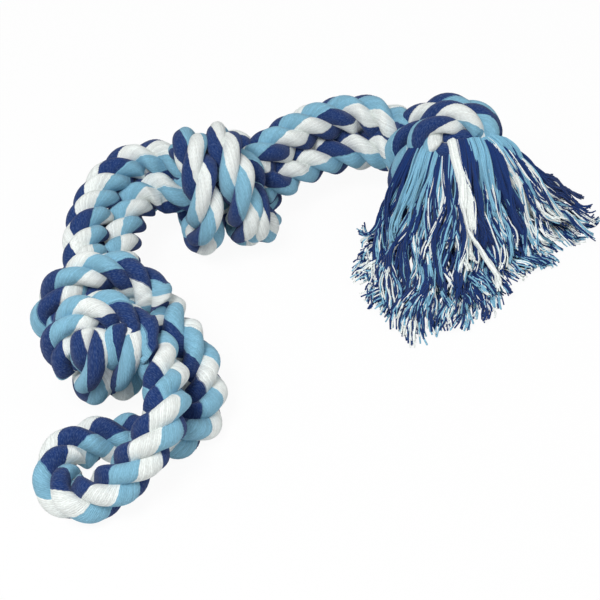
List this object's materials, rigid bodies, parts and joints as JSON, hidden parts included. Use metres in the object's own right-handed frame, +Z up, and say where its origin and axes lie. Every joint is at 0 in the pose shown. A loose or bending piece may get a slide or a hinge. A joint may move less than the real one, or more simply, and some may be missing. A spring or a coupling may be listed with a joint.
{
  "type": "rope dog toy",
  "caption": "Thick doubled cotton rope with a tug loop at one end, knots along it and a frayed tassel, for a dog to chew and pull.",
  "frame": {"origin": "on the floor, at the middle of the flat under the middle knot's second turn", "axes": "+Z up from the floor; +X from the middle knot towards the tassel knot; +Y away from the viewer of the picture, so the loop and the tassel's tips lie towards -Y"},
  "size_m": [0.3799, 0.3476, 0.0903],
  "materials": {
    "loop_rope": "matt twisted cotton in white, navy and sky blue",
    "knot_rope": "matt twisted cotton in white, navy and sky blue",
    "knot_heart": "matt twisted cotton, squeezed",
    "span_rope": "matt twisted cotton in white, navy and sky blue",
    "tassel_yarn": "matt loose cotton yarn in white, navy and sky blue"
  },
  "bodies": {
    "middle_knot": {"middle_knot_turn_1": "knot_rope", "middle_knot_turn_2": "knot_rope", "middle_knot_turn_3": "knot_rope", "middle_knot_turn_4": "knot_rope", "middle_knot_heart": "knot_heart"},
    "loop_knot": {"loop_knot_turn_1": "knot_rope", "loop_knot_turn_2": "knot_rope", "loop_knot_turn_3": "knot_rope", "loop_knot_turn_4": "knot_rope", "loop_knot_heart": "knot_heart", "loop_span_outer": "span_rope", "loop_span_inner": "span_rope"},
    "hand_loop": {"hand_loop": "loop_rope", "loop_leg_inner": "loop_rope", "loop_leg_outer": "loop_rope"},
    "tassel_knot": {"tassel_knot_turn_1": "knot_rope", "tassel_knot_turn_2": "knot_rope", "tassel_knot_heart": "knot_heart", "tassel_span_upper": "span_rope", "tassel_span_lower": "span_rope"},
    "tassel": {"tassel_lock_1": "tassel_yarn", "tassel_lock_2": "tassel_yarn", "tassel_lock_3": "tassel_yarn", "tassel_lock_4": "tassel_yarn", "tassel_lock_5": "tassel_yarn", "tassel_lock_6": "tassel_yarn"}
  },
  "joints": [
    {"name": "loop_span_bend", "type": "hinge", "parent": "middle_knot", "child": "loop_knot", "pos_m": [-0.09, -0.03, 0.04], "axis": [0, 0, 1], "range_deg": [-30, 12], "deforming": ["loop_span_outer", "loop_span_inner"]},
    {"name": "loop_lift", "type": "hinge", "parent": "loop_knot", "child": "hand_loop", "pos_m": [-0.04, -0.155, 0.046], "axis": [-1, 0, 0], "range_deg": [0, 60], "deforming": ["loop_leg_inner", "loop_leg_outer"]},
    {"name": "tassel_span_bend", "type": "hinge", "parent": "middle_knot", "child": "tassel_knot", "pos_m": [0.068, 0.047, 0.04], "axis": [0, 0, 1], "range_deg": [-12, 30], "deforming": ["tassel_span_upper", "tassel_span_lower"]},
    {"name": "tassel_sway", "type": "hinge", "parent": "tassel_knot", "child": "tassel", "pos_m": [0.149, 0.018, 0.044], "axis": [0, 0, 1], "range_deg": [-18, 18], "deforming": ["tassel_lock_1", "tassel_lock_2", "tassel_lock_3", "tassel_lock_4", "tassel_lock_5", "tassel_lock_6"]}
  ]
}
